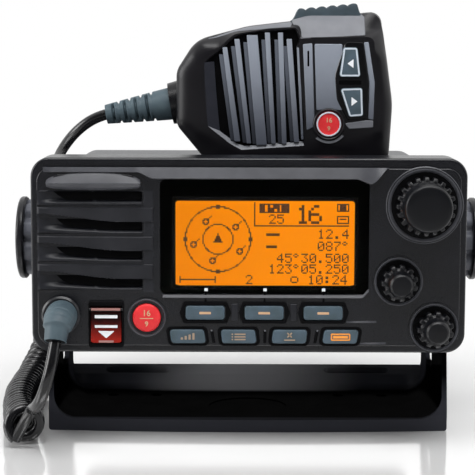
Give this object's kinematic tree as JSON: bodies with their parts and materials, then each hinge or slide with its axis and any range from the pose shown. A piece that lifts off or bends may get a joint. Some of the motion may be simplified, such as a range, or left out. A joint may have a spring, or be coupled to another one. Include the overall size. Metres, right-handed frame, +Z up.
{
  "type": "vhf marine radio",
  "caption": "Fixed-mount marine VHF radio with finned chassis, tilting gimbal bracket with clamp knobs, display panel and speaker microphone on a curly cord.",
  "frame": {"origin": "middle of the bracket's underside, straight below the tilt axis", "axes": "+X to the right of someone facing the panel, +Y from the panel to the back, +Z up"},
  "size_m": [0.2138, 0.1796, 0.185],
  "materials": {
    "panel_plastic": "moulded charcoal polycarbonate with a fine satin texture",
    "gasket_rubber": "black silicone seal",
    "window_lens": "hard-coated clear lens with a black printed border",
    "lcd_glass": "dot-matrix display with orange backlight",
    "circuit_board": "green epoxy circuit board",
    "switch_steel": "pressed switch and shield steel",
    "speaker_steel": "black painted loudspeaker basket",
    "ceramic": "ceramic antenna element",
    "chassis_alloy": "die-cast aluminium with black powder coat",
    "nickel_brass": "nickel-plated brass",
    "cable_rubber": "black cable and gland rubber",
    "screw_steel": "stainless screws",
    "knob_rubber": "black rubber-coated knob",
    "key_rubber": "blue-grey silicone key",
    "red_rubber": "red translucent silicone key",
    "red_clear": "clear red polycarbonate cover",
    "trim_black": "gloss black trim",
    "boot_rubber": "blue-grey flexible boot",
    "bracket_plastic": "gloss black reinforced nylon bracket",
    "pad_rubber": "ribbed friction pad",
    "clamp_plastic": "grey-black moulded knob",
    "mic_plastic": "moulded black ABS",
    "mic_grey": "satin grey face panel"
  },
  "bodies": {
    "bracket": {"bracket": "bracket_plastic", "curly_cord": "cable_rubber", "front_lead": "cable_rubber"},
    "radio": {"front_panel": "panel_plastic", "panel_gasket": "gasket_rubber", "display_window": "window_lens", "lcd_panel": "lcd_glass", "control_board": "circuit_board", "key_switches": "switch_steel", "speaker": "speaker_steel", "gps_antenna": "ceramic", "rear_chassis": "chassis_alloy", "main_board": "circuit_board", "output_module": "switch_steel", "antenna_socket": "nickel_brass", "cable_glands": "cable_rubber", "case_screws": "screw_steel", "rotary_encoders": "switch_steel", "clamp_inserts": "nickel_brass", "tilt_pads": "pad_rubber", "distress_frame": "trim_black", "distress_pin": "screw_steel", "boot_ring": "trim_black", "front_boot": "boot_rubber", "mic_lead": "cable_rubber"},
    "microphone": {"mic_front_shell": "mic_plastic", "mic_rear_shell": "mic_plastic", "mic_seal": "gasket_rubber", "mic_board": "circuit_board", "mic_speaker": "speaker_steel", "mic_collar": "trim_black", "mic_boot": "boot_rubber", "mic_screws": "screw_steel", "hanger_stud": "trim_black"},
    "talk_bar": {"ptt_bar": "key_rubber"},
    "mic_up": {"mic_up_key": "mic_grey"},
    "mic_down": {"mic_down_key": "mic_grey"},
    "mic_call": {"mic_red_key": "red_rubber"},
    "soft_left": {"soft_key_left": "key_rubber"},
    "soft_middle": {"soft_key_middle": "key_rubber"},
    "soft_right": {"soft_key_right": "key_rubber"},
    "function_1": {"function_key_1": "key_rubber"},
    "function_2": {"function_key_2": "key_rubber"},
    "function_3": {"function_key_3": "key_rubber"},
    "function_4": {"function_key_4": "key_rubber"},
    "call": {"red_key": "red_rubber"},
    "alarm_cover": {"distress_cover": "red_clear"},
    "alarm": {"distress_key": "red_rubber"},
    "channel_push": {"channel_shaft": "screw_steel"},
    "channel_turn": {"channel_knob": "knob_rubber"},
    "volume_push": {"volume_shaft": "screw_steel"},
    "volume_turn": {"volume_knob": "knob_rubber"},
    "squelch_turn": {"squelch_shaft": "screw_steel", "squelch_knob": "knob_rubber"},
    "left_clamp_washer": {"left_washer": "screw_steel"},
    "left_clamp": {"left_knob": "clamp_plastic", "left_bolt": "screw_steel"},
    "right_clamp_washer": {"right_washer": "screw_steel"},
    "right_clamp": {"right_knob": "clamp_plastic", "right_bolt": "screw_steel"}
  },
  "joints": [
    {"name": "tilt", "type": "hinge", "parent": "bracket", "child": "radio", "pos_m": [0, 0, 0.0813], "axis": [-1, 0, 0], "range_deg": [-14, 25], "deforming": ["front_lead", "curly_cord", "mic_lead"]},
    {"name": "microphone_lift", "type": "slide", "parent": "radio", "child": "microphone", "axis": [0, 0, 1], "range_m": [0, 0.04], "deforming": ["mic_lead"]},
    {"name": "talk_bar_press", "type": "slide", "parent": "microphone", "child": "talk_bar", "axis": [0, 0, -1], "range_m": [0, 0.002], "stiffness_N_per_m": 800},
    {"name": "mic_up_press", "type": "slide", "parent": "microphone", "child": "mic_up", "axis": [0, 1, 0], "range_m": [0, 0.0007], "stiffness_N_per_m": 400},
    {"name": "mic_down_press", "type": "slide", "parent": "microphone", "child": "mic_down", "axis": [0, 1, 0], "range_m": [0, 0.0007], "stiffness_N_per_m": 400},
    {"name": "mic_call_press", "type": "slide", "parent": "microphone", "child": "mic_call", "axis": [0, 1, 0], "range_m": [0, 0.0007], "stiffness_N_per_m": 400},
    {"name": "soft_left_press", "type": "slide", "parent": "radio", "child": "soft_left", "axis": [0, 1, 0], "range_m": [0, 0.0009], "stiffness_N_per_m": 400},
    {"name": "soft_middle_press", "type": "slide", "parent": "radio", "child": "soft_middle", "axis": [0, 1, 0], "range_m": [0, 0.0009], "stiffness_N_per_m": 400},
    {"name": "soft_right_press", "type": "slide", "parent": "radio", "child": "soft_right", "axis": [0, 1, 0], "range_m": [0, 0.0009], "stiffness_N_per_m": 400},
    {"name": "function_1_press", "type": "slide", "parent": "radio", "child": "function_1", "axis": [0, 1, 0], "range_m": [0, 0.0009], "stiffness_N_per_m": 400},
    {"name": "function_2_press", "type": "slide", "parent": "radio", "child": "function_2", "axis": [0, 1, 0], "range_m": [0, 0.0009], "stiffness_N_per_m": 400},
    {"name": "function_3_press", "type": "slide", "parent": "radio", "child": "function_3", "axis": [0, 1, 0], "range_m": [0, 0.0009], "stiffness_N_per_m": 400},
    {"name": "function_4_press", "type": "slide", "parent": "radio", "child": "function_4", "axis": [0, 1, 0], "range_m": [0, 0.0009], "stiffness_N_per_m": 400},
    {"name": "call_press", "type": "slide", "parent": "radio", "child": "call", "axis": [0, 1, 0], "range_m": [0, 0.0009], "stiffness_N_per_m": 400},
    {"name": "alarm_cover_lift", "type": "hinge", "parent": "radio", "child": "alarm_cover", "pos_m": [-0.05895, -0.0615, 0.0587], "axis": [-1, 0, 0], "range_deg": [0, 95], "stiffness_Nm_per_rad": 0.006, "springref_deg": -20.05},
    {"name": "alarm_press", "type": "slide", "parent": "radio", "child": "alarm", "axis": [0, 1, 0], "range_m": [0, 0.0009], "stiffness_N_per_m": 400},
    {"name": "channel_push_in", "type": "slide", "parent": "radio", "child": "channel_push", "axis": [0, 1, 0], "range_m": [0, 0.0009], "stiffness_N_per_m": 900},
    {"name": "channel_turning", "type": "hinge", "parent": "channel_push", "child": "channel_turn", "pos_m": [0.0722, -0.07, 0.102], "axis": [0, 1, 0], "continuous": true},
    {"name": "volume_push_in", "type": "slide", "parent": "radio", "child": "volume_push", "axis": [0, 1, 0], "range_m": [0, 0.0009], "stiffness_N_per_m": 900},
    {"name": "volume_turning", "type": "hinge", "parent": "volume_push", "child": "volume_turn", "pos_m": [0.0619, -0.07, 0.0704], "axis": [0, 1, 0], "range_deg": [-150, 150]},
    {"name": "squelch_turning", "type": "hinge", "parent": "radio", "child": "squelch_turn", "pos_m": [0.0769, -0.07, 0.0511], "axis": [0, 1, 0], "range_deg": [-150, 150]},
    {"name": "left_clamp_turning", "type": "hinge", "parent": "left_clamp_washer", "child": "left_clamp", "pos_m": [-0.095, 0, 0.0813], "axis": [-1, 0, 0], "range_deg": [0, 540]},
    {"name": "left_washer_slide", "type": "slide", "parent": "radio", "child": "left_clamp_washer", "axis": [-1, 0, 0], "range_m": [0, 0.0015]},
    {"name": "right_clamp_turning", "type": "hinge", "parent": "right_clamp_washer", "child": "right_clamp", "pos_m": [0.095, 0, 0.0813], "axis": [1, 0, 0], "range_deg": [0, 540]},
    {"name": "right_washer_slide", "type": "slide", "parent": "radio", "child": "right_clamp_washer", "axis": [1, 0, 0], "range_m": [0, 0.0015]}
  ],
  "couplings": [
    {"joint": "left_clamp_turning", "follows": "left_washer_slide", "rad_per_m": 6283.2},
    {"joint": "right_clamp_turning", "follows": "right_washer_slide", "rad_per_m": 6283.2}
  ]
}
